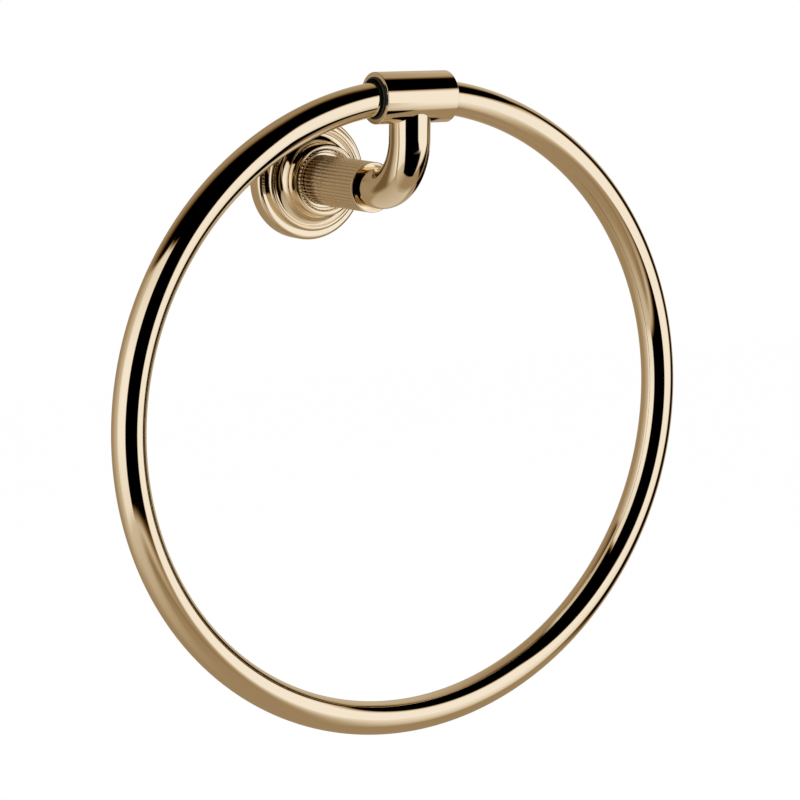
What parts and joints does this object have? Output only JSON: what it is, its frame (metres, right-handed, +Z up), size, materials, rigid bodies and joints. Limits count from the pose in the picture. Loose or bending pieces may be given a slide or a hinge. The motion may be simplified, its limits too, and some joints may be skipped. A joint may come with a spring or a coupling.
{
  "type": "towel ring",
  "caption": "Wall-mounted towel holder: a round bar ring hangs through a short sleeve on an elbow arm, with a fluted collar and a stepped turned rosette.",
  "frame": {"origin": "centre of the rosette on the wall, midway between the two wall screw holes", "axes": "+Y into the wall, +Z up, +X along the wall"},
  "size_m": [0.196, 0.0676, 0.1981],
  "materials": {
    "polished_champagne": "polished champagne gold plating",
    "bush_black": "moulded black",
    "plated_steel": "zinc plated"
  },
  "bodies": {
    "holder": {"ring_sleeve": "polished_champagne", "bush_left": "bush_black", "bush_right": "bush_black", "arm": "polished_champagne", "reeded_collar": "polished_champagne", "rosette": "polished_champagne", "wall_plate": "plated_steel", "rosette_grub_screw": "plated_steel", "arm_washer": "plated_steel", "arm_screw": "plated_steel"},
    "ring": {"ring": "polished_champagne"}
  },
  "joints": [
    {"name": "ring_swing", "type": "hinge", "parent": "holder", "child": "ring", "pos_m": [0, -0.06, 0.028], "axis": [1, 0, 0], "range_deg": [-197, 17]}
  ]
}
